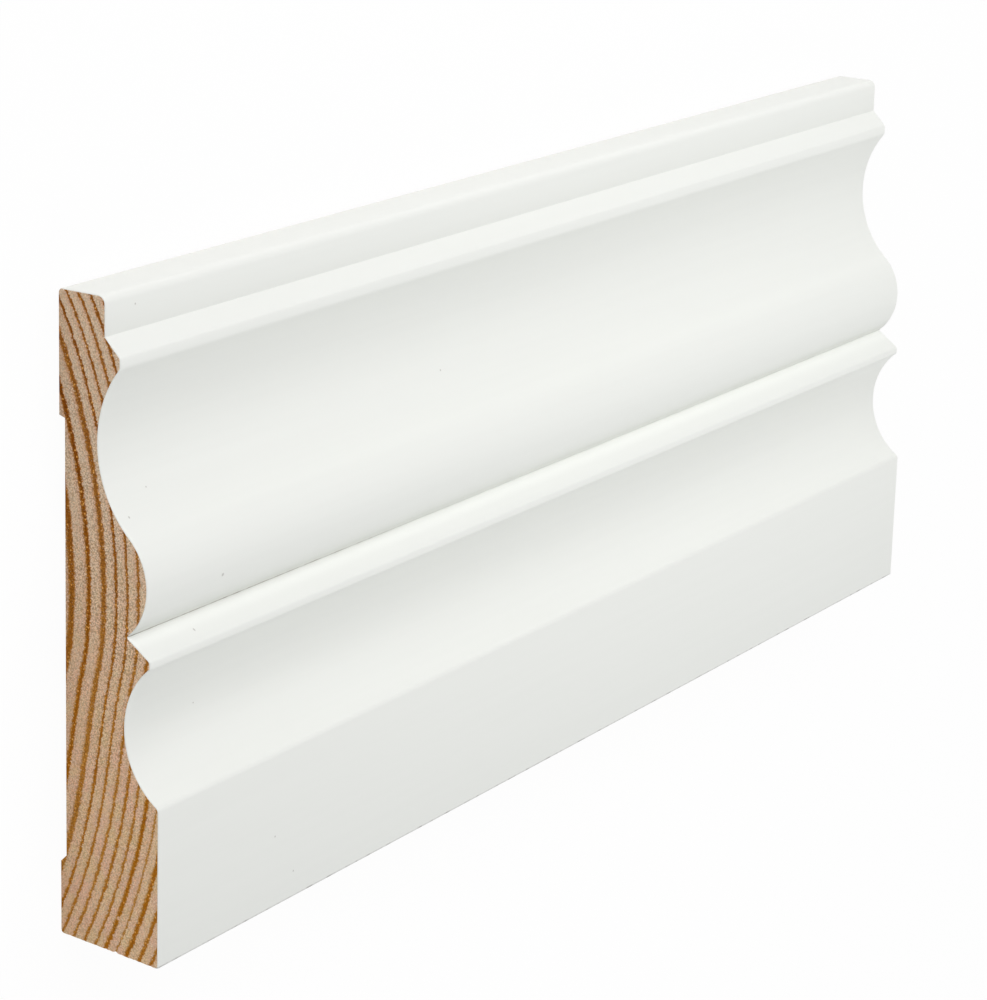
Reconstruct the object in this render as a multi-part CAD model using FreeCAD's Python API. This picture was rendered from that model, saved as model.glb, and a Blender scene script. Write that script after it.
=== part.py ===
# Skirting board length: a short piece of moulded pine skirting, lying on its back.
# Sizes are in millimetres. X runs along the length, Y from the floor edge up to the top edge,
# and Z out of the moulded face. The two lands of the back rest at Z = 0.
# The section is drawn in heights above the floor edge and depths behind the plinth face.
# Its members hang from the top edge downwards, so a taller board gets a taller plinth.

import FreeCAD
import Part
import math
import os

# Overall sizes of the board
length = 285.0
height = 120.0
thickness = 22.0

# Upright fillet under the top edge
fillet_width = 7.15
fillet_depth = 11.8

# Chamfer that comes forward from the fillet, and the flat front of the upper nose
chamfer_slope = 45.0
upper_nose_depth = 8.55
upper_nose_width = 2.0

# Upper cove, and the bulge that flows into it
upper_cove_radius = 21.5
upper_cove_depth = 13.45
bulge_radius = 11.9
bulge_depth = 2.65

# Quirk, the sharp groove under the bulge, with the slope from it to the flat lower nose
quirk_depth = 6.95
quirk_slope = 55.0
lower_nose_depth = 1.95
lower_nose_width = 1.4

# Lower cove, which ends at the shoulder of the plinth
lower_cove_radius = 15.6
lower_cove_depth = 7.5

# Floor edge, cut out of square so that its front arris meets the floor first
floor_edge_rise = 1.3

# Shallow relief in the back, between two lands
relief_depth = 1.25
upper_land = 21.8
lower_land = 15.1

# Roundings of the long arrises
top_back_round = 1.0
top_front_round = 1.6
upper_nose_round = 1.4
lower_nose_round = 0.6
nose_arris_round = 0.3
shoulder_round = 1.3
back_foot_round = 0.6


def half_chord(radius, sagitta):
    """Gives half the width of a circle at a distance from its furthest point."""
    return math.sqrt(radius ** 2 - (radius - sagitta) ** 2)


def drop(near_depth, far_depth, slope):
    """Gives how far a slope falls while it comes forward from one depth to another."""
    return (far_depth - near_depth) / math.tan(math.radians(slope))


def point(corner):
    """Places a corner of the section, given as height and depth, on the board's left end."""
    up, depth = corner
    return FreeCAD.Vector(-length / 2, up - height / 2, thickness - depth)


def line(start, end):
    """Makes a straight edge of the section."""
    return Part.LineSegment(point(start), point(end)).toShape()


def arc(start, middle, end):
    """Makes a round edge of the section through three corners."""
    return Part.Arc(point(start), point(middle), point(end)).toShape()


# Fillet and chamfer, from the top edge downwards
top_front = (height, fillet_depth)
fillet_foot = (height - fillet_width, fillet_depth)
chamfer_drop = drop(upper_nose_depth, fillet_depth, chamfer_slope)
upper_nose_top = (fillet_foot[0] - chamfer_drop, upper_nose_depth)
upper_nose_foot = (upper_nose_top[0] - upper_nose_width, upper_nose_depth)

# Upper cove, placed by the foot of the nose above it
upper_cove_drop = half_chord(upper_cove_radius, upper_cove_depth - upper_nose_depth)
upper_cove_bottom = (upper_nose_foot[0] - upper_cove_drop, upper_cove_depth)
upper_cove_centre = (upper_cove_bottom[0], upper_cove_depth - upper_cove_radius)

# Bulge, whose circle touches that of the cove at the point where one flows into the other
bulge_centre_depth = bulge_depth + bulge_radius
centre_distance = upper_cove_radius + bulge_radius
centre_drop = math.sqrt(centre_distance ** 2 - (bulge_centre_depth - upper_cove_centre[1]) ** 2)
bulge_crest = (upper_cove_centre[0] - centre_drop, bulge_depth)
flow_share = upper_cove_radius / centre_distance
flow = (
    upper_cove_centre[0] - flow_share * centre_drop,
    upper_cove_centre[1] + flow_share * (bulge_centre_depth - upper_cove_centre[1]),
)

# Quirk, where the underside of the bulge has gone in to the quirk's depth
quirk = (bulge_crest[0] - half_chord(bulge_radius, quirk_depth - bulge_depth), quirk_depth)
quirk_slope_drop = drop(lower_nose_depth, quirk_depth, quirk_slope)
lower_nose_top = (quirk[0] - quirk_slope_drop, lower_nose_depth)
lower_nose_foot = (lower_nose_top[0] - lower_nose_width, lower_nose_depth)

# Lower cove and the shoulder of the plinth
lower_cove_drop = half_chord(lower_cove_radius, lower_cove_depth - lower_nose_depth)
lower_cove_bottom = (lower_nose_foot[0] - lower_cove_drop, lower_cove_depth)
shoulder = (lower_cove_bottom[0] - half_chord(lower_cove_radius, lower_cove_depth), 0.0)

# Floor edge and back
floor_front = (0.0, 0.0)
floor_back = (floor_edge_rise, thickness)
relief_low = (lower_land, thickness)
relief_low_floor = (lower_land + relief_depth, thickness - relief_depth)
relief_high_floor = (height - upper_land - relief_depth, thickness - relief_depth)
relief_high = (height - upper_land, thickness)
top_back = (height, thickness)

# The section as one closed wire, run along the length
section = Part.Wire([
    line(top_front, fillet_foot),
    line(fillet_foot, upper_nose_top),
    line(upper_nose_top, upper_nose_foot),
    arc(upper_nose_foot, upper_cove_bottom, flow),
    arc(flow, bulge_crest, quirk),
    line(quirk, lower_nose_top),
    line(lower_nose_top, lower_nose_foot),
    arc(lower_nose_foot, lower_cove_bottom, shoulder),
    line(shoulder, floor_front),
    line(floor_front, floor_back),
    line(floor_back, relief_low),
    line(relief_low, relief_low_floor),
    line(relief_low_floor, relief_high_floor),
    line(relief_high_floor, relief_high),
    line(relief_high, top_back),
    line(top_back, top_front),
])
board = Part.Face(section).extrude(FreeCAD.Vector(length, 0, 0))


def round_arris(solid, corner, radius):
    """Rounds the long edge of the solid that starts at a corner of the section."""
    corner_point = point(corner)
    for edge in solid.Edges:
        starts_here = any(vertex.Point.isEqual(corner_point, 0.001) for vertex in edge.Vertexes)
        if starts_here and abs(edge.Length - length) < 0.001:
            return solid.makeFillet(radius, [edge])
    raise ValueError("no long edge starts at this corner")


# Soften the long arrises, as the cutters and the paint leave them
board = round_arris(board, top_back, top_back_round)
board = round_arris(board, top_front, top_front_round)
board = round_arris(board, upper_nose_top, nose_arris_round)
board = round_arris(board, upper_nose_foot, upper_nose_round)
board = round_arris(board, lower_nose_top, nose_arris_round)
board = round_arris(board, lower_nose_foot, lower_nose_round)
board = round_arris(board, shoulder, shoulder_round)
board = round_arris(board, floor_back, back_foot_round)

os.makedirs("parts", exist_ok=True)
board.exportStep("parts/skirting_board.step")
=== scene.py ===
"""Offcut of moulded pine skirting board, lying on its back on a white sweep.

The board is one pine plank, run through a moulder and sprayed satin white on its face and
top edge. The ends are crosscut and bare, and the floor edge and the back are planed and bare.
Lengths are in metres, apart from those of the materials, which are in millimetres.
"""

import logging
import math
from collections.abc import Sequence
from dataclasses import dataclass, field
from enum import Enum
from typing import Any, NamedTuple

import bmesh
import bpy
from mathutils import Matrix, Vector, noise


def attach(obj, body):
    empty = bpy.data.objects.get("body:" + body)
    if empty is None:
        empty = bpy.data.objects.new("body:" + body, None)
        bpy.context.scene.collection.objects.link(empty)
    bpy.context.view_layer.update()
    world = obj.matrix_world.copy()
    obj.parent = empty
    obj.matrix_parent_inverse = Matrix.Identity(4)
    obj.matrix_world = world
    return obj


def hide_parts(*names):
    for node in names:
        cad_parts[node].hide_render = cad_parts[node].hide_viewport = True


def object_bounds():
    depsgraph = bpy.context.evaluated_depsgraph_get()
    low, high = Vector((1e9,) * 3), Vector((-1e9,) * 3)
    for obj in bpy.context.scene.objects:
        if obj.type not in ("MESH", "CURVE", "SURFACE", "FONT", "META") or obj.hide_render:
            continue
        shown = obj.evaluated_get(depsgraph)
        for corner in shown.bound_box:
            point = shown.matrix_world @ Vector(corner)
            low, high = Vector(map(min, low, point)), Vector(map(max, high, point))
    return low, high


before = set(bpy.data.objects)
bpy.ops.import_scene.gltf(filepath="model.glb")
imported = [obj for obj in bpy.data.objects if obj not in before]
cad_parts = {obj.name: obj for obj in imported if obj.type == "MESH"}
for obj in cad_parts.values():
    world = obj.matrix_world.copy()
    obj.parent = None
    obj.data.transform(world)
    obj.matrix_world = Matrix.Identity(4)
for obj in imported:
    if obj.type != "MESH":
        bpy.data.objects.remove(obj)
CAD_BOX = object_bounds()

log = logging.getLogger("skirting")

Tree = bpy.types.NodeTree
Socket = bpy.types.NodeSocket
Outputs = bpy.types.NodeOutputs
Colour = tuple[float, float, float, float]

MM_PER_M = 1000.0

# Corners of the mesh that are closer together than this, in metres, are the same corner.
SAME_PLACE = 1e-6

# The colour mixer's output, which Blender tells from its others only by number
MIXED = 2

# Scale of a pattern that is laid over coordinates already scaled for it
UNSCALED = 1.0


@dataclass(frozen=True)
class Kind:
    """A kind of shader node, set up in one way.

    Attributes:
        type: The node's Blender type.
        settings: Properties of the node itself, by name.
        inputs: The inputs that are fed, in order, by number or name.
    """

    type: str
    settings: dict[str, Any] = field(default_factory=dict)
    inputs: Sequence[int | str] = range(3)


# The kinds of node that the materials are made up of
MINUS = Kind("ShaderNodeMath", {"operation": "SUBTRACT"})
TIMES = Kind("ShaderNodeMath", {"operation": "MULTIPLY"})
TIMES_PLUS = Kind("ShaderNodeMath", {"operation": "MULTIPLY_ADD"})
LARGER = Kind("ShaderNodeMath", {"operation": "MAXIMUM"})
SMALLER = Kind("ShaderNodeMath", {"operation": "MINIMUM"})
POSITIVE = Kind("ShaderNodeMath", {"operation": "ABSOLUTE"})
EACH_TIMES = Kind("ShaderNodeVectorMath", {"operation": "MULTIPLY"})
SCALED = Kind("ShaderNodeVectorMath", {"operation": "SCALE"}, (0, "Scale"))
APART = Kind("ShaderNodeVectorMath", {"operation": "DISTANCE"})
LEVEL = Kind("ShaderNodeMapRange", inputs=range(5))
EASED = Kind("ShaderNodeMapRange", {"interpolation_type": "SMOOTHSTEP"}, range(5))
CURVE = Kind("ShaderNodeFloatCurve", inputs=("Value",))
MIX = Kind("ShaderNodeMix", {"data_type": "RGBA"}, (0, 6, 7))
SPLIT = Kind("ShaderNodeSeparateColor")
JOIN = Kind("ShaderNodeCombineXYZ")
NOISE = Kind("ShaderNodeTexNoise", inputs=("Vector", "Scale", "Detail"))
NOISE_1D = Kind("ShaderNodeTexNoise", {"noise_dimensions": "1D"}, ("W", "Scale", "Detail"))
CELLS = Kind("ShaderNodeTexVoronoi", inputs=("Vector", "Scale"))
BUMP = Kind("ShaderNodeBump", inputs=("Strength", "Distance", "Height"))


def linear(hex_code: str) -> Colour:
    """Turns an sRGB hex colour into the linear colour that a shader takes.

    Args:
        hex_code: Six hex digits, red first.

    Returns:
        Linear red, green and blue with an alpha of 1.
    """
    shades = [int(hex_code[i:i + 2], 16) / 255 for i in (0, 2, 4)]
    light = [s / 12.92 if s <= 0.04045 else ((s + 0.055) / 1.055) ** 2.4 for s in shades]
    return (light[0], light[1], light[2], 1.0)


def add_node(tree: Tree, kind: Kind, *feeds: Any) -> Outputs:
    """Adds one node, sets it up and links what feeds it.

    Args:
        tree: The node tree that gets the node.
        kind: The node's type, settings and inputs.
        feeds: A value or an output socket for each input in turn.

    Returns:
        The outputs of the new node.
    """
    node = tree.nodes.new(kind.type)
    for name, value in kind.settings.items():
        setattr(node, name, value)
    for socket, value in zip(kind.inputs, feeds):
        if isinstance(value, Socket):
            tree.links.new(value, node.inputs[socket])
        else:
            node.inputs[socket].default_value = value
    return node.outputs


def shape_curve(output: Socket, points: Sequence[tuple[float, float]], handle: str) -> None:
    """Puts points on a curve node.

    Args:
        output: The output of the curve node.
        points: Places on the curve, from left to right.
        handle: Kind of handle that every point gets.
    """
    mapping = output.node.mapping
    curve = mapping.curves[0]
    curve.points[0].location = points[0]
    curve.points[1].location = points[-1]
    for spot in points[1:-1]:
        curve.points.new(*spot)
    for point in curve.points:
        point.handle_type = handle
    mapping.update()


def seen_ray(tree: Tree) -> Socket:
    """Tells the rays that show a surface from those that only light something.

    Args:
        tree: The node tree that gets the nodes.

    Returns:
        A socket that is 1 for a camera, glossy or transmission ray and 0 for any other.
    """
    path = add_node(tree, Kind("ShaderNodeLightPath"))
    seen = path["Is Camera Ray"]
    for name in ("Is Glossy Ray", "Is Transmission Ray"):
        seen = add_node(tree, LARGER, seen, path[name])[0]
    return seen


class Ramp(NamedTuple):
    """A level that changes across a stretch and stays the same on both sides of it.

    Its four numbers feed a Map Range node, after the value that it follows.

    Attributes:
        start: Where the level starts to change.
        end: Where it stops changing.
        before: The level up to the start.
        after: The level from the end on.
    """

    start: float
    end: float
    before: float = 0.0
    after: float = 1.0


@dataclass(frozen=True)
class BoardPlace:
    """Node sockets that say where a point of the board is, in millimetres.

    Attributes:
        tree: The material's node tree, which holds the sockets.
        spot: The point as a vector.
        along: Distance from the near end.
        up: Height above the floor edge.
        depth: Depth behind the plinth face.
        up_share: The height as a share of the board's height.
    """

    tree: Tree
    spot: Socket
    along: Socket
    up: Socket
    depth: Socket
    up_share: Socket

    @classmethod
    def read(cls, tree: Tree) -> "BoardPlace":
        """Makes the nodes that read the place from Object coordinates.

        Args:
            tree: The material's node tree.

        Returns:
            The sockets of the place.
        """
        low, high = CAD_BOX
        coords = add_node(tree, Kind("ShaderNodeTexCoord"))["Object"]
        spot = add_node(tree, SCALED, coords, MM_PER_M)[0]
        axes = add_node(tree, Kind("ShaderNodeSeparateXYZ"), spot)
        along, up, depth = (
            add_node(tree, MINUS, whole, part)[0]
            for whole, part in (
                (axes["X"], low.x * MM_PER_M),
                (axes["Y"], low.y * MM_PER_M),
                (high.z * MM_PER_M, axes["Z"]),
            )
        )
        height = (high.y - low.y) * MM_PER_M
        share = add_node(tree, Kind("ShaderNodeMath", {"operation": "DIVIDE"}), up, height)[0]
        return cls(tree, spot, along, up, depth, share)


@dataclass(frozen=True)
class BoardSection:
    """Sizes of the moulding and the corners that follow from them.

    Corners are pairs of a height above the floor edge and a depth behind the plinth face.
    """

    height: float
    thickness: float
    fillet_width: float = 0.00715
    fillet_depth: float = 0.0118
    chamfer_slope: float = math.radians(45)
    upper_nose_depth: float = 0.00855
    upper_nose_width: float = 0.002
    upper_cove_radius: float = 0.0215
    upper_cove_depth: float = 0.01345
    bulge_radius: float = 0.0119
    bulge_depth: float = 0.00265
    quirk_depth: float = 0.00695
    quirk_slope: float = math.radians(55)
    lower_nose_depth: float = 0.00195
    lower_nose_width: float = 0.0014
    lower_cove_radius: float = 0.0156
    lower_cove_depth: float = 0.0075
    floor_edge_rise: float = 0.0013
    relief_depth: float = 0.00125
    relief_top_run: float = 0.0004
    upper_land: float = 0.0225
    lower_land: float = 0.0151

    @staticmethod
    def half_chord(radius: float, sagitta: float) -> float:
        """Gives half the width of a circle at a distance from its furthest point."""
        return math.sqrt(radius ** 2 - (radius - sagitta) ** 2)

    @property
    def fillet_foot(self) -> Vector:
        """The inner corner where the fillet meets the chamfer."""
        return Vector((self.height - self.fillet_width, self.fillet_depth))

    @property
    def upper_nose_top(self) -> Vector:
        """The corner between the chamfer and the flat front of the upper nose."""
        fall = (self.fillet_depth - self.upper_nose_depth) / math.tan(self.chamfer_slope)
        return Vector((self.fillet_foot.x - fall, self.upper_nose_depth))

    @property
    def upper_nose_foot(self) -> Vector:
        """The corner between the upper nose and the upper cove, before it is rounded."""
        return Vector((self.upper_nose_top.x - self.upper_nose_width, self.upper_nose_depth))

    @property
    def upper_cove_centre(self) -> Vector:
        """The centre of the upper cove's circle."""
        fall = self.half_chord(self.upper_cove_radius, self.upper_cove_depth - self.upper_nose_depth)
        return Vector((self.upper_nose_foot.x - fall, self.upper_cove_depth - self.upper_cove_radius))

    @property
    def bulge_centre(self) -> Vector:
        """The centre of the bulge's circle, which touches that of the upper cove."""
        depth = self.bulge_depth + self.bulge_radius
        reach = self.upper_cove_radius + self.bulge_radius
        fall = math.sqrt(reach ** 2 - (depth - self.upper_cove_centre.y) ** 2)
        return Vector((self.upper_cove_centre.x - fall, depth))

    @property
    def flow(self) -> Vector:
        """The point where the upper cove flows into the bulge."""
        share = self.upper_cove_radius / (self.upper_cove_radius + self.bulge_radius)
        return self.upper_cove_centre.lerp(self.bulge_centre, share)

    @property
    def quirk(self) -> Vector:
        """The bottom of the sharp groove under the bulge."""
        fall = self.half_chord(self.bulge_radius, self.quirk_depth - self.bulge_depth)
        return Vector((self.bulge_centre.x - fall, self.quirk_depth))

    @property
    def lower_nose_top(self) -> Vector:
        """The corner between the quirk's slope and the flat front of the lower nose."""
        fall = (self.quirk_depth - self.lower_nose_depth) / math.tan(self.quirk_slope)
        return Vector((self.quirk.x - fall, self.lower_nose_depth))

    @property
    def lower_nose_foot(self) -> Vector:
        """The corner between the lower nose and the lower cove, before it is rounded."""
        return Vector((self.lower_nose_top.x - self.lower_nose_width, self.lower_nose_depth))

    @property
    def lower_cove_centre(self) -> Vector:
        """The centre of the lower cove's circle."""
        fall = self.half_chord(self.lower_cove_radius, self.lower_cove_depth - self.lower_nose_depth)
        return Vector((self.lower_nose_foot.x - fall, self.lower_cove_depth - self.lower_cove_radius))

    @property
    def shoulder(self) -> Vector:
        """The corner between the lower cove and the plinth, before it is rounded."""
        fall = self.half_chord(self.lower_cove_radius, self.lower_cove_depth)
        return Vector((self.lower_cove_centre.x - fall, 0.0))


@dataclass(frozen=True)
class RoundedNose:
    """A rounding between a straight stretch and a cove, with the points where it touches them."""

    centre: Vector
    on_line: Vector
    on_cove: Vector

    @classmethod
    def fit(
        cls, corner: Vector, away: Vector, inward: Vector, radius: float, cove: Vector, cove_radius: float
    ) -> "RoundedNose":
        """Works out the rounding of one corner.

        Args:
            corner: The sharp corner.
            away: Unit direction of the straight stretch, away from the corner.
            inward: Unit direction from the straight stretch into the wood.
            radius: Radius of the rounding.
            cove: Centre of the cove's circle.
            cove_radius: Radius of the cove's circle.

        Returns:
            The rounding that touches both.
        """
        offset = corner + inward * radius - cove
        half = away.dot(offset)
        travel = -half + math.sqrt(half ** 2 - offset.length_squared + (cove_radius + radius) ** 2)
        centre = corner + inward * radius + away * travel
        return cls(centre, corner + away * travel, cove.lerp(centre, cove_radius / (cove_radius + radius)))


class SectionPen:
    """Draws the board's section as a chain of edges on its near end."""

    widest_turn = math.radians(12)

    def __init__(self, mesh: bmesh.types.BMesh, section: BoardSection, end_x: float) -> None:
        """Keeps what the pen draws in, and where.

        Args:
            mesh: The mesh that gets the chain.
            section: The section, for its height and thickness.
            end_x: Place of the end along X.
        """
        self.mesh = mesh
        self.section = section
        self.end_x = end_x
        self.tip: bmesh.types.BMVert | None = None

    def place(self, corner: Vector) -> Vector:
        """Turns a height and a depth into a point of the end."""
        return Vector((self.end_x, corner.x - self.section.height / 2, self.section.thickness - corner.y))

    def start(self, corner: Vector) -> None:
        """Sets the pen down at a corner."""
        self.tip = bmesh.ops.create_vert(self.mesh, co=self.place(corner))["vert"][0]

    def line_to(self, corner: Vector) -> None:
        """Draws a straight edge to a corner."""
        grown = bmesh.ops.extrude_vert_indiv(self.mesh, verts=[self.tip])
        self.tip = grown["verts"][0]
        self.tip.co = self.place(corner)

    def arc_to(self, corner: Vector, centre: Vector, facet: float) -> None:
        """Spins the pen's tip round a centre to a corner.

        Args:
            corner: Where the arc ends.
            centre: Centre of the arc's circle.
            facet: Longest facet of the arc.
        """
        middle = self.place(centre)
        target = self.place(corner)
        first = (self.tip.co - middle).yz
        last = (target - middle).yz
        turn = math.atan2(first.cross(last), first.dot(last))
        steps = math.ceil(max(abs(turn) * last.length / facet, abs(turn) / self.widest_turn))
        spun = bmesh.ops.spin(
            self.mesh,
            geom=[self.tip],
            cent=middle,
            axis=(1.0, 0.0, 0.0),
            angle=turn,
            steps=steps,
            space=Matrix.Identity(4),
        )
        self.tip = spun["geom_last"][0]
        self.tip.co = target


class Cut(Enum):
    """How a bare face of the pine was cut."""

    CROSSCUT = "crosscut"
    PLANED = "planed"


@dataclass(frozen=True)
class GrowthRing:
    """One year of the tree.

    Attributes:
        width: Width of the whole ring.
        latewood: Width of the dark band that ends it.
        depth: How dark that band is, 1 for the darkest.
    """

    width: float
    latewood: float
    depth: float


@dataclass(frozen=True)
class FibreSpeckle:
    """Speckle of torn fibre ends on bare wood, bundle by bundle.

    A bundle is paler in its middle than at its rim, and leans to a warm or a cool hue. Between
    the bundles lie pale flecks of broken fibre and dark pits.
    """

    # Bundles: their own shade, where middle turns to rim, and what each does to the wood's colour
    shade: Ramp = Ramp(0.0, 1.0, 0.9, 1.1)
    rim: Ramp = Ramp(0.2, 0.75)
    middle_tint: Colour = (1.41, 1.44, 1.5, 1.0)
    rim_tint: Colour = (0.58, 0.53, 0.48, 1.0)
    warm_tint: Colour = (1.05, 0.985, 0.92, 1.0)
    cool_tint: Colour = (0.97, 1.01, 1.06, 1.0)
    # The saw tore patches about 9 mm wide more than others, and most of all two thirds up the board.
    patches_per_mm: float = 0.11
    patches: Ramp = Ramp(0.35, 0.65, 0.6, 1.0)
    torn_by_height: tuple[tuple[float, float], ...] = (
        (0.0, 0.58), (0.3, 0.8), (0.7, 1.0), (0.9, 0.62), (1.0, 0.58)
    )
    # Flecks and pits 0.2 mm wide, the flecks mostly outside the dark bands
    grit_per_mm: float = 2.4
    dot: Ramp = Ramp(0.16, 0.34, 1.0, 0.0)
    flecks: Ramp = Ramp(0.55, 0.7, 0.0, 0.8)
    flecks_by_band: Ramp = Ramp(0.0, 1.0, 1.0, 0.15)
    pits: Ramp = Ramp(0.7, 0.85, 0.0, 0.45)
    fleck_colour: str = "F6E4C6"
    pit_colour: str = "8A6238"

    def lay(
        self, place: BoardPlace, fibres: Socket, cells: Outputs, wood: Socket, band: Socket
    ) -> Socket:
        """Lays the speckle over a colour.

        Args:
            place: Where the point is.
            fibres: The point, squeezed along the fibres.
            cells: Outputs of the texture of fibre bundles.
            wood: The colour to speckle.
            band: How far the point is in a dark band.

        Returns:
            The speckled colour.
        """
        tree = place.tree
        grit = add_node(tree, CELLS, fibres, self.grit_per_mm)
        chance = add_node(tree, SPLIT, grit["Color"])
        dot = add_node(tree, EASED, grit["Distance"], *self.dot)[0]
        fleck = add_node(tree, LEVEL, chance[0], *self.flecks)[0]
        pit = add_node(tree, LEVEL, chance[1], *self.pits)[0]
        outside = add_node(tree, LEVEL, band, *self.flecks_by_band)[0]
        bright = add_node(tree, TIMES, fleck, outside)[0]
        fleck_dot = add_node(tree, TIMES, dot, bright)[0]
        pit_dot = add_node(tree, TIMES, dot, pit)[0]
        colour = self._tone_bundles(place, cells, wood)
        for share, torn in ((fleck_dot, self.fleck_colour), (pit_dot, self.pit_colour)):
            colour = add_node(tree, MIX, share, colour, linear(torn))[MIXED]
        return colour

    def _tone_bundles(self, place: BoardPlace, cells: Outputs, wood: Socket) -> Socket:
        """Gives each bundle of fibres its shade, hue and rim.

        Args:
            place: Where the point is.
            cells: Outputs of the texture of fibre bundles.
            wood: The colour to tone.

        Returns:
            The toned colour.
        """
        tree = place.tree
        chance = add_node(tree, SPLIT, cells["Color"])
        shade = add_node(tree, LEVEL, chance[0], *self.shade)[0]
        from_middle = add_node(tree, LEVEL, cells["Distance"], *self.rim)[0]
        rim = add_node(tree, MIX, from_middle, self.middle_tint, self.rim_tint)[MIXED]
        saw = add_node(tree, CURVE, place.up_share)[0]
        shape_curve(saw, self.torn_by_height, "AUTO")
        patches = add_node(tree, NOISE, place.spot, self.patches_per_mm)[0]
        torn = add_node(tree, LEVEL, patches, *self.patches)[0]
        tearing = add_node(tree, TIMES, torn, saw)[0]
        level = add_node(tree, MIX, tearing, (1.0, 1.0, 1.0, 1.0), rim)[MIXED]
        hue = add_node(tree, MIX, chance[1], self.warm_tint, self.cool_tint)[MIXED]
        hued = add_node(tree, EACH_TIMES, wood, hue)[0]
        rimmed = add_node(tree, EACH_TIMES, hued, level)[0]
        return add_node(tree, SCALED, rimmed, shade)[0]


@dataclass(frozen=True)
class BarePine:
    """Bare Scots pine, the same growth rings seen on a sawn end or a planed side.

    A fine saw leaves the end matt and speckled, with resin canals as golden dots in the dark
    bands. On planed sides the same rings run along the board as stripes.
    The pith lies far behind the back of the board, so the rings are nearly flat arcs.
    """

    cut: Cut
    speckle: FibreSpeckle = FibreSpeckle()
    # The pith at the near end, how it leans for each millimetre along, and the innermost ring
    pith_up: float = 60.4
    pith_depth: float = 160.0
    pith_lean_up: float = 0.018
    pith_lean_depth: float = 0.011
    first_radius: float = 129.0
    rings: tuple[GrowthRing, ...] = (
        GrowthRing(3.8, 1.1, 0.9),
        GrowthRing(3.8, 1.2, 0.9),
        GrowthRing(3.8, 1.6, 0.88),
        GrowthRing(3.55, 1.1, 1.0),
        GrowthRing(3.45, 1.3, 0.78),
        GrowthRing(2.4, 0.65, 0.95),
        GrowthRing(2.4, 0.62, 0.85),
        GrowthRing(2.5, 0.7, 0.8),
        GrowthRing(2.4, 0.72, 0.9),
        GrowthRing(2.3, 0.62, 0.8),
        GrowthRing(2.4, 1.0, 1.0),
        GrowthRing(1.95, 0.5, 0.6),
        GrowthRing(2.55, 1.05, 1.0),
        GrowthRing(2.7, 0.85, 0.9),
        GrowthRing(2.4, 0.7, 0.9),
        GrowthRing(2.5, 0.7, 0.9),
        GrowthRing(2.5, 0.8, 0.9),
        GrowthRing(2.5, 0.8, 0.9),
    )
    # How far the rings stand off a true round, at even steps up the board, and the most they may
    wander: tuple[float, ...] = (1.65, 0.95, 1.05, -0.93, -1.58, -1.26, 0.12)
    wander_reach: float = 2.0
    # Away from the near end the trunk was not quite straight, so the rings drift.
    drift_per_mm: tuple[float, float, float] = (0.012, 0.045, 0.045)
    drift: Ramp = Ramp(0.0, 90.0, 0.0, 5.0)
    # Waves in a ring's edge, and its steps from one fibre bundle to the next
    fray: float = 0.5
    waves_per_mm: float = 0.7
    wave_octaves: float = 3.0
    cell_step: float = 0.3
    # A cell is 0.32 mm, three wood fibres wide, because single fibres are too fine to show.
    cells_per_mm: float = 3.1
    fibre_squeeze: float = 0.02
    # Where a dark band starts, is full and starts to end, as shares of its width
    band_lead: float = 0.3
    band_full: float = 0.35
    band_close: float = 0.35
    # The colours change from the low part of the board to the high part, and in clouds of 4 mm.
    by_height: Ramp = Ramp(25.0, 100.0)
    clouds_per_mm: float = 0.25
    clouds: Ramp = Ramp(0.35, 0.65)
    low_early: str = "DDC197"
    low_blush: str = "E0BB9E"
    high_early: str = "D6BFA3"
    low_amber: str = "BA8842"
    high_amber: str = "A97435"
    low_dark: str = "A86810"
    high_dark: str = "84490C"
    # Each ring browns a little before its dark band starts, most of all high on the board.
    brown: str = "D2A586"
    brown_from: float = 0.3
    browning: Ramp = Ramp(0.0, 1.0, 0.3, 0.6)
    # Resin canals 0.4 mm wide, and the one resin pocket, at a height and a depth on the near end
    resin: str = "EEB25E"
    canals_per_mm: float = 1.25
    canal: Ramp = Ramp(0.16, 0.28, 0.9, 0.0)
    pocket: tuple[float, float] = (7.4, 8.9)
    pocket_edge: Ramp = Ramp(0.3, 0.5)
    # Cut fibres scatter nearly all light, so bare wood has hardly any gloss.
    roughness: float = 0.8
    gloss: float = 0.04
    bump_strength: float = 0.5
    bump_depth: float = 0.0001

    def build(self) -> bpy.types.Material:
        """Makes the material.

        Returns:
            The finished material.
        """
        material = bpy.data.materials.new(f"scots_pine_{self.cut.value}")
        material.use_nodes = True
        tree = material.node_tree
        place = BoardPlace.read(tree)
        along = 1.0 if self.cut is Cut.CROSSCUT else self.fibre_squeeze
        fibres = add_node(tree, EACH_TIMES, place.spot, (along, 1.0, 1.0))[0]
        cells = add_node(tree, CELLS, fibres, self.cells_per_mm)
        years = self._years(place, cells)
        wood, band = self._ring_colour(place, years)
        shader = tree.nodes["Principled BSDF"]
        shader.inputs["Roughness"].default_value = self.roughness
        shader.inputs["Specular IOR Level"].default_value = self.gloss
        tree.links.new(self.speckle.lay(place, fibres, cells, wood, band), shader.inputs["Base Color"])
        bump = add_node(tree, BUMP, self.bump_strength, self.bump_depth, cells["Distance"])[0]
        tree.links.new(bump, shader.inputs["Normal"])
        return material

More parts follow.
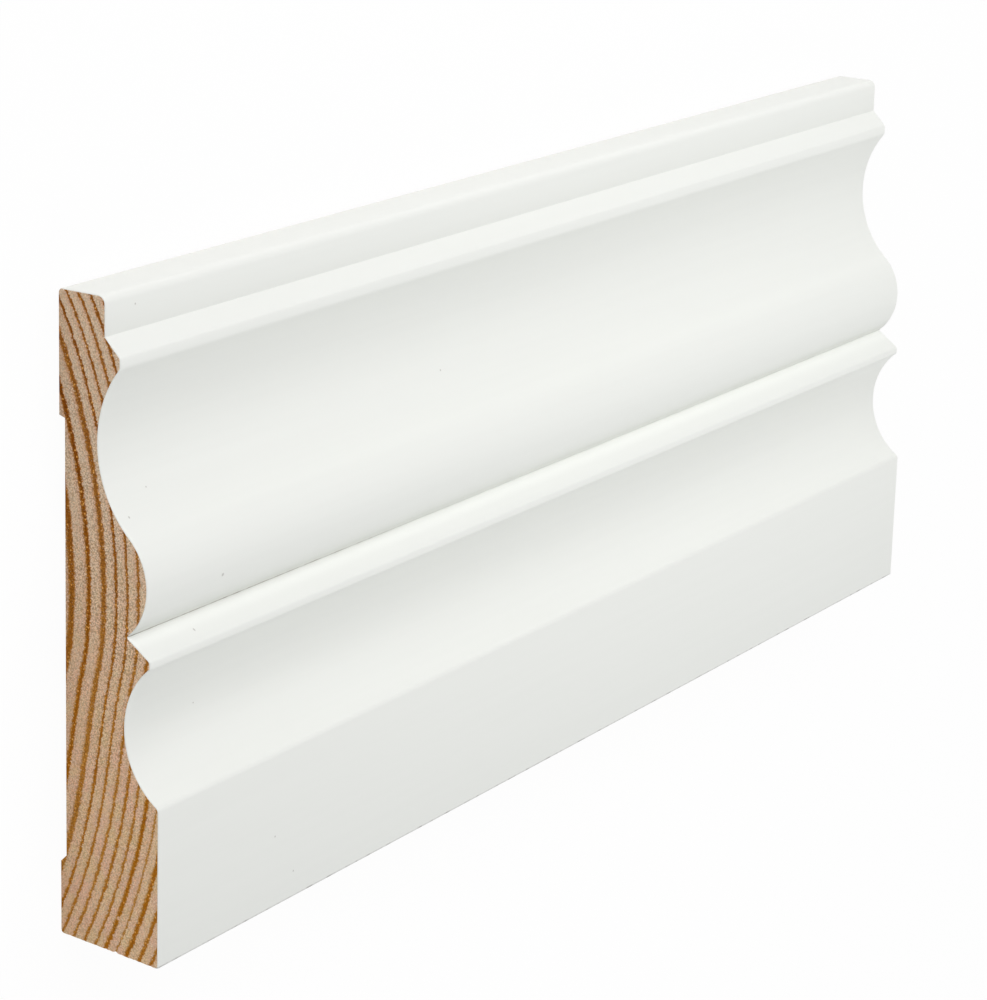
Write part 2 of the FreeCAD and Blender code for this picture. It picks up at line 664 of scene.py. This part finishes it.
    def _radius(self, place: BoardPlace) -> Socket:
        """Works out the distance from the pith.

        Args:
            place: Where the point is.

        Returns:
            The distance, square to the board's length.
        """
        tree = place.tree
        pith_up, pith_depth = (
            add_node(tree, TIMES_PLUS, place.along, lean, start)[0]
            for lean, start in (
                (self.pith_lean_up, self.pith_up),
                (self.pith_lean_depth, self.pith_depth),
            )
        )
        rise = add_node(tree, MINUS, place.up, pith_up)[0]
        run = add_node(tree, MINUS, pith_depth, place.depth)[0]
        spoke = add_node(tree, JOIN, rise, run)[0]
        return add_node(tree, Kind("ShaderNodeVectorMath", {"operation": "LENGTH"}), spoke)["Value"]

    def _years(self, place: BoardPlace, cells: Outputs) -> Socket:
        """Works out how far through the rings a point is, counted from the innermost.

        Args:
            place: Where the point is.
            cells: Outputs of the texture of fibre bundles, which fray the rings' edges.

        Returns:
            The share of the rings that is passed, from 0 to 1, in equal steps a year.
        """
        tree = place.tree
        wander = add_node(tree, CURVE, place.up_share)[0]
        last = len(self.wander) - 1
        shape_curve(
            wander, [(i / last, 0.5 + w / (2 * self.wander_reach)) for i, w in enumerate(self.wander)], "AUTO"
        )
        slow = add_node(tree, EACH_TIMES, place.spot, self.drift_per_mm)[0]
        bends = add_node(tree, NOISE, slow, UNSCALED)[0]
        centred = add_node(tree, MINUS, bends, 0.5)[0]
        reach = add_node(tree, EASED, place.along, *self.drift)[0]
        waves = add_node(tree, NOISE, place.spot, self.waves_per_mm, self.wave_octaves)[0]
        chance = add_node(tree, SPLIT, cells["Color"])[2]
        radius = self._radius(place)
        for offset, size in (
            (wander, 2 * self.wander_reach),
            (centred, reach),
            (waves, self.fray),
            (chance, self.cell_step),
        ):
            radius = add_node(tree, TIMES_PLUS, offset, size, radius)[0]
        total = sum(ring.width for ring in self.rings)
        start = self.first_radius + self.wander_reach + self.fray / 2 + self.cell_step / 2
        passed = add_node(tree, LEVEL, radius, start, start + total)[0]
        edges = [(0.0, 0.0)]
        for number, ring in enumerate(self.rings, start=1):
            edges.append((edges[-1][0] + ring.width / total, number / len(self.rings)))
        years = add_node(tree, CURVE, passed)[0]
        shape_curve(years, edges, "VECTOR")
        return years

    def _ring_colour(self, place: BoardPlace, years: Socket) -> tuple[Socket, Socket]:
        """Colours the pale and the dark part of each ring.

        Args:
            place: Where the point is.
            years: The share of the rings that is passed.

        Returns:
            The colour of the wood without its speckle, and how far the point is in a dark band.
        """
        tree = place.tree
        within, begin, late = self._band(place, years)
        height = add_node(tree, EASED, place.up, *self.by_height)[0]
        cloud = add_node(tree, NOISE, place.spot, self.clouds_per_mm)[0]
        blush = add_node(tree, LEVEL, cloud, *self.clouds)[0]
        sapwood = add_node(tree, MIX, blush, linear(self.low_early), linear(self.low_blush))[MIXED]
        early, amber, dark = (
            add_node(tree, MIX, height, low, linear(high))[MIXED]
            for low, high in (
                (sapwood, self.high_early),
                (linear(self.low_amber), self.high_amber),
                (linear(self.low_dark), self.high_dark),
            )
        )
        most = add_node(tree, LEVEL, height, *self.browning)[0]
        brown = add_node(tree, EASED, within, self.brown_from, begin, 0.0, most)[0]
        colour = early
        # A dark band starts amber and is fully dark only past its middle.
        for share, next_colour in (
            (brown, linear(self.brown)),
            (add_node(tree, LEVEL, late, 0.0, 0.5)[0], amber),
            (add_node(tree, LEVEL, late, 0.5, 1.0)[0], dark),
        ):
            colour = add_node(tree, MIX, share, colour, next_colour)[MIXED]
        canals = add_node(tree, CELLS, place.spot, self.canals_per_mm)["Distance"]
        canal = add_node(tree, EASED, canals, *self.canal)[0]
        resin = add_node(tree, TIMES, canal, late)[0]
        dotted = add_node(tree, MIX, resin, colour, linear(self.resin))[MIXED]
        return dotted, late

    def _band(self, place: BoardPlace, years: Socket) -> tuple[Socket, Socket, Socket]:
        """Finds the dark band of the ring that a point is in.

        Args:
            place: Where the point is.
            years: The share of the rings that is passed.

        Returns:
            How far through its ring the point is, where the ring's dark band begins, and how
            dark the band is at the point.
        """
        tree = place.tree
        count = len(self.rings)
        phase = add_node(tree, TIMES, years, float(count))[0]
        within = add_node(tree, Kind("ShaderNodeMath", {"operation": "FRACT"}), phase)[0]
        sheet = add_node(tree, Kind("ShaderNodeValToRGB"), years)["Color"]
        ramp = sheet.node.color_ramp
        ramp.interpolation = "CONSTANT"
        stops = ramp.elements
        stops.remove(stops[1])
        for number, ring in enumerate(self.rings):
            stop = stops.new(number / count) if number else stops[0]
            stop.color = (ring.latewood / ring.width, ring.depth, 0.0, 1.0)
        width, depth, _ = add_node(tree, SPLIT, sheet)
        begin = add_node(tree, MINUS, 1.0, width)[0]
        lead, full, close = (
            add_node(tree, TIMES_PLUS, width, share, start)[0]
            for share, start in ((-self.band_lead, begin), (self.band_full, begin), (-self.band_close, 1.0))
        )
        rising = add_node(tree, EASED, within, lead, full, 0.0, depth)[0]
        falling = add_node(tree, EASED, within, close, 1.0, 1.0, 0.0)[0]
        late = add_node(tree, TIMES, rising, falling)[0]
        shown = add_node(tree, SMALLER, late, self._outside_pocket(place))[0]
        return within, begin, shown

    def _outside_pocket(self, place: BoardPlace) -> Socket:
        """Leaves a gap in a dark band round the one resin pocket on the near end.

        Args:
            place: Where the point is.

        Returns:
            A socket that is 0 in the pocket and 1 outside it.
        """
        tree = place.tree
        spot = add_node(tree, JOIN, place.up, place.depth, place.along)[0]
        away = add_node(tree, APART, spot, (*self.pocket, 0.0))["Value"]
        return add_node(tree, LEVEL, away, *self.pocket_edge)[0]


@dataclass(frozen=True)
class Speck:
    """A grain of dust caught in the paint.

    Attributes:
        along: Distance from the near end.
        up: Height above the floor edge.
        radius: Size of the grain.
    """

    along: float
    up: float
    radius: float


@dataclass(frozen=True)
class SatinPaint:
    """Satin white acrylic, sprayed on the moulded face over a primer.

    The film is smooth and slightly glossy, with the pine's grain as faint streaks along the
    board and a trace of orange peel. A thin dirty line shows where it didn't fill the quirk.
    It is darker in broken patches along the floor arris, and a few grains of dust stick in it.
    """

    section: BoardSection
    white: str = "EDEFE9"
    roughness: float = 0.42
    # Streaks of grain about 2 mm wide and 80 mm long, and dimples of orange peel 1.4 mm wide
    streaks_per_mm: tuple[float, float, float] = (0.012, 0.55, 0.55)
    streak_octaves: float = 3.0
    streaks: Ramp = Ramp(0.3, 0.7, 0.99, 1.0)
    peel_per_mm: float = 0.7
    peel_octaves: float = 2.0
    peel_share: float = 0.35
    bump_strength: float = 0.2
    bump_depth: float = 0.00006
    # Painted light: the white is lighter round a line just under the quirk, to lift the groove's shade.
    quirk_painted_light_white: str = "F5F7F1"
    painted_light_below: float = 0.2
    painted_light_ramp: Ramp = Ramp(0.3, 1.9, 1.0, 0.0)
    # The dirty line: how far it stands above the quirk, its edge, its beads, and how it fades
    dirt: str = "9C9184"
    line_rise: float = 0.25
    line: Ramp = Ramp(0.06, 0.24, 1.0, 0.0)
    beads_per_mm: float = 0.25
    bead_octaves: float = 4.0
    beads: Ramp = Ramp(0.35, 0.65, 0.35, 1.0)
    fading: Ramp = Ramp(20.0, 120.0, 0.95, 0.06)
    # Darker grey along the floor arris, in broken patches
    arris_grey: str = "8F8E88"
    arris: Ramp = Ramp(0.2, 0.6, 1.0, 0.0)
    arris_patches_per_mm: float = 0.3
    arris_patch_octaves: float = 4.0
    arris_patches: Ramp = Ramp(0.5, 0.7, 0.35, 0.9)
    # Dust, solid to half its radius and gone a little beyond it
    dust_grey: str = "8F8A80"
    dust_core: float = 0.5
    dust_rim: float = 1.3
    dust_cover: float = 0.48
    dust: tuple[Speck, ...] = (
        Speck(8.0, 117.2, 0.2),
        Speck(10.2, 84.2, 0.16),
        Speck(2.9, 80.8, 0.2),
        Speck(21.6, 66.9, 0.34),
        Speck(15.0, 58.2, 0.2),
        Speck(19.2, 42.6, 0.17),
        Speck(34.2, 13.9, 0.2),
        Speck(40.0, 5.2, 0.2),
        Speck(103.0, 86.2, 0.2),
    )

    def build(self) -> bpy.types.Material:
        """Makes the material.

        Returns:
            The finished material.
        """
        material = bpy.data.materials.new("satin_acrylic_sprayed")
        material.use_nodes = True
        tree = material.node_tree
        place = BoardPlace.read(tree)
        streaks = add_node(tree, EACH_TIMES, place.spot, self.streaks_per_mm)[0]
        grain = add_node(tree, NOISE, streaks, UNSCALED, self.streak_octaves)[0]
        shader = tree.nodes["Principled BSDF"]
        shader.inputs["Roughness"].default_value = self.roughness
        tree.links.new(self._colour(place, grain), shader.inputs["Base Color"])
        peel = add_node(tree, NOISE, place.spot, self.peel_per_mm, self.peel_octaves)[0]
        film = add_node(tree, TIMES_PLUS, peel, self.peel_share, grain)[0]
        bump = add_node(tree, BUMP, self.bump_strength, self.bump_depth, film)[0]
        tree.links.new(bump, shader.inputs["Normal"])
        return material

    def _colour(self, place: BoardPlace, grain: Socket) -> Socket:
        """Colours the film, with painted light round the quirk, its dirt line, the darker floor arris and
        dust.

        Args:
            place: Where the point is.
            grain: How strong the streaks of grain are.

        Returns:
            The colour of the film.
        """
        tree = place.tree
        shade = add_node(tree, LEVEL, grain, *self.streaks)[0]
        quirk_up = self.section.quirk.x * MM_PER_M
        off_line = add_node(tree, MINUS, place.up, quirk_up)[0]
        # Painted light: a lighter white round a line just under the quirk, against the groove's shade.
        from_painted_light = add_node(tree, MINUS, off_line, -self.painted_light_below)[0]
        reach = add_node(tree, POSITIVE, from_painted_light)[0]
        painted_light = add_node(tree, EASED, reach, *self.painted_light_ramp)[0]
        tint = add_node(tree, MIX, painted_light, linear(self.white), linear(self.quirk_painted_light_white))[MIXED]
        colour = add_node(tree, SCALED, tint, shade)[0]
        for mask, overlay_colour in (
            (self._quirk_line(place, off_line), self.dirt),
            (self._arris_darkening(place), self.arris_grey),
            (self._dust(place), self.dust_grey),
        ):
            colour = add_node(tree, MIX, mask, colour, linear(overlay_colour))[MIXED]
        return colour

    def _quirk_line(self, place: BoardPlace, off_line: Socket) -> Socket:
        """Masks the broken line of dirt along the quirk, which fades away from the near end.

        Args:
            place: Where the point is.
            off_line: Distance from the quirk's line, up the board.

        Returns:
            How much dirt shows, from 0 to 1.
        """
        tree = place.tree
        raised = add_node(tree, MINUS, off_line, self.line_rise)[0]
        distance = add_node(tree, POSITIVE, raised)[0]
        in_line = add_node(tree, EASED, distance, *self.line)[0]
        beads = add_node(tree, NOISE_1D, place.along, self.beads_per_mm, self.bead_octaves)[0]
        broken = add_node(tree, LEVEL, beads, *self.beads)[0]
        fading = add_node(tree, EASED, place.along, *self.fading)[0]
        line = add_node(tree, TIMES, in_line, broken)[0]
        return add_node(tree, TIMES, line, fading)[0]

    def _arris_darkening(self, place: BoardPlace) -> Socket:
        """Masks the darker grey, in broken patches, along the plinth's floor arris.

        Args:
            place: Where the point is.

        Returns:
            How dark the arris is, from 0 to 1.
        """
        tree = place.tree
        arris = add_node(tree, EASED, place.up, *self.arris)[0]
        arris_noise = add_node(tree, NOISE_1D, place.along, self.arris_patches_per_mm, self.arris_patch_octaves)[0]
        arris_patches = add_node(tree, LEVEL, arris_noise, *self.arris_patches)[0]
        return add_node(tree, TIMES, arris, arris_patches)[0]

    def _dust(self, place: BoardPlace) -> Socket:
        """Masks the grains of dust.

        Args:
            place: Where the point is.

        Returns:
            How much dust shows, from 0 to 1.
        """
        tree = place.tree
        spot = add_node(tree, JOIN, place.along, place.up)[0]
        total = None
        for speck in self.dust:
            away = add_node(tree, APART, spot, (speck.along, speck.up, 0.0))["Value"]
            edge = Ramp(speck.radius * self.dust_core, speck.radius * self.dust_rim, self.dust_cover, 0.0)
            grain = add_node(tree, EASED, away, *edge)[0]
            if total is not None:
                grain = add_node(tree, LARGER, total, grain)[0]
            total = grain
        return total


class Face(Enum):
    """Material slot of each kind of face."""

    PAINTED = 0
    SAWN_END = 1
    PLANED = 2


@dataclass
class SkirtingBoard:
    """The whole board, one plank with one closed skin."""

    low: Vector
    high: Vector
    shoulder_round: float = 0.0013
    lower_nose_round: float = 0.0006
    upper_nose_round: float = 0.0014
    nose_arris_round: float = 0.0003
    quirk_fill: float = 0.0003
    top_front_round: float = 0.0016
    top_back_round: float = 0.001
    back_foot_round: float = 0.0006
    front_foot_round: float = 0.00035
    paint_lip: float = 0.0002
    cove_facet: float = 0.0007
    round_facet: float = 0.0003
    sharp_angle: float = math.radians(32)
    # How much a face looks along the board: a side at most the first, an end at least the second
    side_turn: float = 0.01
    end_turn: float = 0.99
    # How much a bare side looks at the back or at the floor
    bare_back: float = 0.25
    bare_floor: float = 0.95
    # Torn floor arris at the near end: its reach along the board, its bays, its depths and how
    # high its corners lie, as a share of the floor edge's rise
    chip_reach: float = 0.0016
    chip_bays: int = 52
    chip_from: float = 0.0004
    chip_to: float = 0.0206
    chip_ceiling: float = 1.2
    chip_height: float = 0.00022
    # Coarse and fine chips: how many to the metre, their row of the noise and their share
    chips: tuple[tuple[float, float, float], ...] = ((900.0, 3.1, 0.8), (2600.0, 7.7, 0.5))
    # One deeper notch in the torn arris
    notch_depth: float = 0.0096
    notch_half_width: float = 0.0005
    notch_height: float = 0.00045

    def __post_init__(self) -> None:
        """Takes the section's outer sizes from the frame."""
        self.section = BoardSection(height=self.high.y - self.low.y, thickness=self.high.z)

    def build(self) -> bpy.types.Object:
        """Models and dresses the board.

        Returns:
            The finished piece.
        """
        shape = bmesh.new()
        self._draw_section(shape)
        self._run_out(shape)
        self._round_arrises(shape)
        self._lip_paint_at_ends(shape)
        self._sort_faces(shape)
        self._chip_floor_arris(shape)
        for edge in shape.edges:
            edge.smooth = edge.calc_face_angle(0.0) < self.sharp_angle
        mesh = bpy.data.meshes.new("painted_board")
        shape.to_mesh(mesh)
        shape.free()
        for finish in (SatinPaint(self.section), BarePine(Cut.CROSSCUT), BarePine(Cut.PLANED)):
            mesh.materials.append(finish.build())
        board = bpy.data.objects.new("painted_board", mesh)
        bpy.context.collection.objects.link(board)
        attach(board, "root")
        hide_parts("skirting_board")
        log.info("%s: %d faces", board.name, len(mesh.polygons))
        return board

    def _draw_section(self, shape: bmesh.types.BMesh) -> None:
        """Draws the closed section on the near end.

        Args:
            shape: The mesh that gets it.
        """
        cut = self.section
        up = Vector((1.0, 0.0))
        deeper = Vector((0.0, 1.0))
        upper_cove = (cut.upper_cove_centre, cut.upper_cove_radius)
        lower_cove = (cut.lower_cove_centre, cut.lower_cove_radius)
        upper = RoundedNose.fit(cut.upper_nose_foot, up, deeper, self.upper_nose_round, *upper_cove)
        lower = RoundedNose.fit(cut.lower_nose_foot, up, deeper, self.lower_nose_round, *lower_cove)
        shoulder = RoundedNose.fit(cut.shoulder, -up, deeper, self.shoulder_round, *lower_cove)
        pen = SectionPen(shape, cut, self.low.x)
        pen.start(Vector((cut.height, cut.thickness)))
        first = pen.tip
        pen.line_to(Vector((cut.height, cut.fillet_depth)))
        pen.line_to(cut.fillet_foot)
        pen.line_to(cut.upper_nose_top)
        pen.line_to(upper.on_line)
        pen.arc_to(upper.on_cove, upper.centre, self.round_facet)
        pen.arc_to(cut.flow, cut.upper_cove_centre, self.cove_facet)
        pen.arc_to(cut.quirk, cut.bulge_centre, self.cove_facet)
        pen.line_to(cut.lower_nose_top)
        pen.line_to(lower.on_line)
        pen.arc_to(lower.on_cove, lower.centre, self.round_facet)
        pen.arc_to(shoulder.on_cove, cut.lower_cove_centre, self.cove_facet)
        pen.arc_to(shoulder.on_line, shoulder.centre, self.round_facet)
        pen.line_to(Vector((0.0, 0.0)))
        pen.line_to(Vector((cut.floor_edge_rise, cut.thickness)))
        pen.line_to(Vector((cut.lower_land, cut.thickness)))
        floor = cut.thickness - cut.relief_depth
        pen.line_to(Vector((cut.lower_land + cut.relief_depth, floor)))
        # The cutter left the relief's upper wall nearly square and its lower wall at 45 degrees.
        pen.line_to(Vector((cut.height - cut.upper_land - cut.relief_top_run, floor)))
        pen.line_to(Vector((cut.height - cut.upper_land, cut.thickness)))
        shape.edges.new((pen.tip, first))
        bmesh.ops.contextual_create(shape, geom=shape.edges[:])

    def _run_out(self, shape: bmesh.types.BMesh) -> None:
        """Runs the section along the board's length.

        Args:
            shape: The mesh with the section.
        """
        grown = bmesh.ops.extrude_face_region(shape, geom=shape.faces[:])
        moved = [part for part in grown["geom"] if isinstance(part, bmesh.types.BMVert)]
        bmesh.ops.translate(shape, vec=(self.high.x - self.low.x, 0.0, 0.0), verts=moved)
        bmesh.ops.recalc_face_normals(shape, faces=shape.faces[:])

    @staticmethod
    def _round_edges(
        shape: bmesh.types.BMesh, edges: list[bmesh.types.BMEdge], radius: float, segments: int
    ) -> None:
        """Rounds edges of the mesh.

        Args:
            shape: The board's mesh.
            edges: The edges to round.
            radius: How far from the edge the rounding starts.
            segments: Number of facets in the rounding.
        """
        bmesh.ops.bevel(
            shape,
            geom=edges,
            offset=radius,
            offset_type="OFFSET",
            segments=segments,
            profile=0.5,
            affect="EDGES",
            material=-1,
        )

    def _round_arrises(self, shape: bmesh.types.BMesh) -> None:
        """Rounds the long arrises between flat faces, and fills the quirk's corner with paint.

        Args:
            shape: The board's mesh.
        """
        cut = self.section
        arrises = (
            (Vector((cut.height, cut.thickness)), self.top_back_round),
            (Vector((cut.height, cut.fillet_depth)), self.top_front_round),
            (Vector((cut.floor_edge_rise, cut.thickness)), self.back_foot_round),
            (Vector((0.0, 0.0)), self.front_foot_round),
            (cut.upper_nose_top, self.nose_arris_round),
            (cut.lower_nose_top, self.nose_arris_round),
            (cut.quirk, self.quirk_fill),
        )
        for corner, radius in arrises:
            spot = Vector((corner.x - cut.height / 2, cut.thickness - corner.y))
            edges = [e for e in shape.edges if all((v.co.yz - spot).length < SAME_PLACE for v in e.verts)]
            segments = max(2, math.ceil(radius * math.pi / 2 / self.round_facet))
            self._round_edges(shape, edges, radius, segments)

    def _lip_paint_at_ends(self, shape: bmesh.types.BMesh) -> None:
        """Wraps the paint film a little round the arrises of both ends.

        Args:
            shape: The board's mesh.
        """
        shape.normal_update()
        edges = []
        for edge in shape.edges:
            ends = [face for face in edge.link_faces if abs(face.normal.x) > self.end_turn]
            sides = [face for face in edge.link_faces if abs(face.normal.x) < self.side_turn]
            if ends and sides and not self._is_bare(sides[0]):
                edges.append(edge)
        self._round_edges(shape, edges, self.paint_lip, segments=2)

    def _is_bare(self, side: bmesh.types.BMFace) -> bool:
        """Tells the unpainted back and floor edge from the painted sides."""
        return -side.normal.z > self.bare_back or -side.normal.y > self.bare_floor

    def _sort_faces(self, shape: bmesh.types.BMesh) -> None:
        """Gives every face the slot of its finish.

        Args:
            shape: The board's mesh.
        """
        shape.normal_update()
        for face in shape.faces:
            across = abs(face.normal.x)
            face.smooth = across < self.side_turn
            if across > self.end_turn:
                face.material_index = Face.SAWN_END.value
            elif across < self.side_turn and self._is_bare(face):
                face.material_index = Face.PLANED.value
            else:
                face.material_index = Face.PAINTED.value

    def _chip_floor_arris(self, shape: bmesh.types.BMesh) -> None:
        """Tears the arris between the near end and the floor edge a little, as the saw left it.

        Args:
            shape: The board's mesh.
        """
        floor_faces = [face for face in shape.faces if -face.normal.y > self.bare_floor]
        under = max(floor_faces, key=lambda face: face.calc_area())
        cut = bmesh.ops.bisect_plane(
            shape,
            geom=[under, *under.edges, *under.verts],
            plane_co=(self.low.x + self.chip_reach, 0.0, 0.0),
            plane_no=(1.0, 0.0, 0.0),
        )
        on_end = self.low.x + SAME_PLACE
        inner = [part for part in cut["geom_cut"] if isinstance(part, bmesh.types.BMEdge)]
        strip = min(inner[0].link_faces, key=lambda face: face.calc_center_median().x)
        outer = [edge for edge in strip.edges if all(v.co.x < on_end for v in edge.verts)]
        bmesh.ops.subdivide_edges(shape, edges=inner + outer, cuts=self.chip_bays, use_grid_fill=True)
        highest = self.low.y + self.section.floor_edge_rise * self.chip_ceiling
        for vert in shape.verts:
            depth = self.high.z - vert.co.z
            if vert.co.x > on_end or vert.co.y > highest or not self.chip_from < depth < self.chip_to:
                continue
            torn = 0.0
            for per_m, row, share in self.chips:
                torn += share * abs(noise.noise(Vector((depth * per_m, row, 0.0))))
            notch = max(0.0, 1.0 - abs(depth - self.notch_depth) / self.notch_half_width)
            vert.co.y += self.chip_height * torn + self.notch_height * notch


@dataclass(frozen=True)
class WhiteSweep:
    """A sheet of white background paper that the board lies on.

    Attributes:
        half_width: Half the sheet's width.
        paper: Colour of the paper where it lights the board or takes its shadow.
        lift: Share of plain white in what the camera sees of the paper.
    """

    half_width: float = 4.0
    paper: str = "F8F8F6"
    lift: float = 0.96

    def build(self) -> bpy.types.Object:
        """Lays the paper.

        Returns:
            The floor.
        """
        shape = bmesh.new()
        bmesh.ops.create_grid(shape, x_segments=1, y_segments=1, size=self.half_width)
        mesh = bpy.data.meshes.new("white_sweep")
        shape.to_mesh(mesh)
        shape.free()
        mesh.materials.append(self._material())
        sweep = bpy.data.objects.new("white_sweep", mesh)
        bpy.context.collection.objects.link(sweep)
        log.info("%s laid", sweep.name)
        return sweep

    def _material(self) -> bpy.types.Material:
        """Makes white paper that stays white to the camera and keeps a light shadow.

        Returns:
            The finished material.
        """
        material = bpy.data.materials.new("white_background_paper")
        material.use_nodes = True
        tree = material.node_tree
        tree.nodes.clear()
        paper = add_node(tree, Kind("ShaderNodeBsdfDiffuse"), linear(self.paper))[0]
        glow = add_node(tree, Kind("ShaderNodeEmission"), linear("FFFFFF"), 1.0)[0]
        seen = add_node(tree, TIMES, seen_ray(tree), self.lift)[0]
        mix = add_node(tree, Kind("ShaderNodeMixShader"), seen, paper, glow)[0]
        add_node(tree, Kind("ShaderNodeOutputMaterial"), mix)
        return material


@dataclass(frozen=True)
class SoftBox:
    """One soft lamp of the studio."""

    name: str
    place: tuple[float, float, float]
    size: float
    watts: float
    tint: str

    def build(self, aim: Vector) -> bpy.types.Object:
        """Hangs the lamp.

        Args:
            aim: The point that it faces.

        Returns:
            The lamp.
        """
        light = bpy.data.lights.new(self.name, "AREA")
        light.shape = "SQUARE"
        light.size = self.size
        light.energy = self.watts
        light.color = linear(self.tint)[:3]
        lamp = bpy.data.objects.new(self.name, light)
        lamp.location = self.place
        lamp.rotation_euler = (aim - Vector(self.place)).to_track_quat("-Z", "Y").to_euler()
        lamp.visible_camera = False
        bpy.context.collection.objects.link(lamp)
        return lamp


@dataclass(frozen=True)
class Studio:
    """White room with soft lamps beyond the board's two long edges, above it and at its near end."""

    room_light: float = 0.268
    lamps: tuple[SoftBox, ...] = (
        SoftBox("top_edge_lamp", (-0.5, 0.9, 0.6), 0.6, 4.4, "FFFBFF"),
        SoftBox("floor_edge_lamp", (0.0, -0.9, 0.5), 0.6, 3.75, "FBFBFF"),
        SoftBox("overhead_lamp", (0.1, 0.1, 0.35), 0.3, 0.27, "FFFFFF"),
        SoftBox("front_lamp", (0.1, 0.6, 0.7), 0.5, 2.7, "FAFBFF"),
        SoftBox("near_end_lamp", (-1.3, 0.1, 0.16), 0.3, 1.5, "FFFFFF"),
    )

    def build(self, aim: Vector) -> None:
        """Lights the scene.

        Args:
            aim: The point that the lamps face.
        """
        for lamp in self.lamps:
            lamp.build(aim)
            log.info("%s hung", lamp.name)
        world = bpy.data.worlds.new("white_room")
        bpy.context.scene.world = world
        world.use_nodes = True
        tree = world.node_tree
        tree.nodes.clear()
        # The camera sees the room plain white, and the board gets only the room's soft light.
        strength = add_node(tree, LEVEL, seen_ray(tree), 0.0, 1.0, self.room_light, 1.0)[0]
        room = add_node(tree, Kind("ShaderNodeBackground"), linear("FFFFFF"), strength)[0]
        add_node(tree, Kind("ShaderNodeOutputWorld"), room)


@dataclass(frozen=True)
class PhotoCamera:
    """The camera that took the photo, with a long lens above the board's near end."""

    place: tuple[float, float, float] = (-0.58335, 0.19635, 0.37117)
    turn: tuple[float, float, float] = (-17.6057, -56.8579, 3.0087)
    focal_pixels: float = 3449.5
    long_side_pixels: float = 1000.0
    sensor: float = 36.0
    shift_up: float = -0.1
    nearest: float = 0.01
    furthest: float = 50.0

    def build(self) -> bpy.types.Object:
        """Sets the camera up and makes it the scene's own.

        Returns:
            The camera.
        """
        data = bpy.data.cameras.new("photo_camera")
        data.sensor_width = self.sensor
        data.lens = self.focal_pixels * self.sensor / self.long_side_pixels
        data.shift_y = self.shift_up
        data.clip_start = self.nearest
        data.clip_end = self.furthest
        camera = bpy.data.objects.new("photo_camera", data)
        camera.location = self.place
        camera.rotation_euler = [math.radians(angle) for angle in self.turn]
        bpy.context.collection.objects.link(camera)
        bpy.context.scene.camera = camera
        log.info("%s set up", camera.name)
        return camera


def main() -> None:
    """Builds the board, the studio and the camera in order."""
    logging.basicConfig(level=logging.INFO, format="%(name)s: %(message)s")
    low, high = CAD_BOX
    SkirtingBoard(low, high).build()
    WhiteSweep().build()
    Studio().build((low + high) / 2)
    PhotoCamera().build()
    bpy.context.scene.view_settings.view_transform = "Standard"


if __name__ == "__main__":
    main()
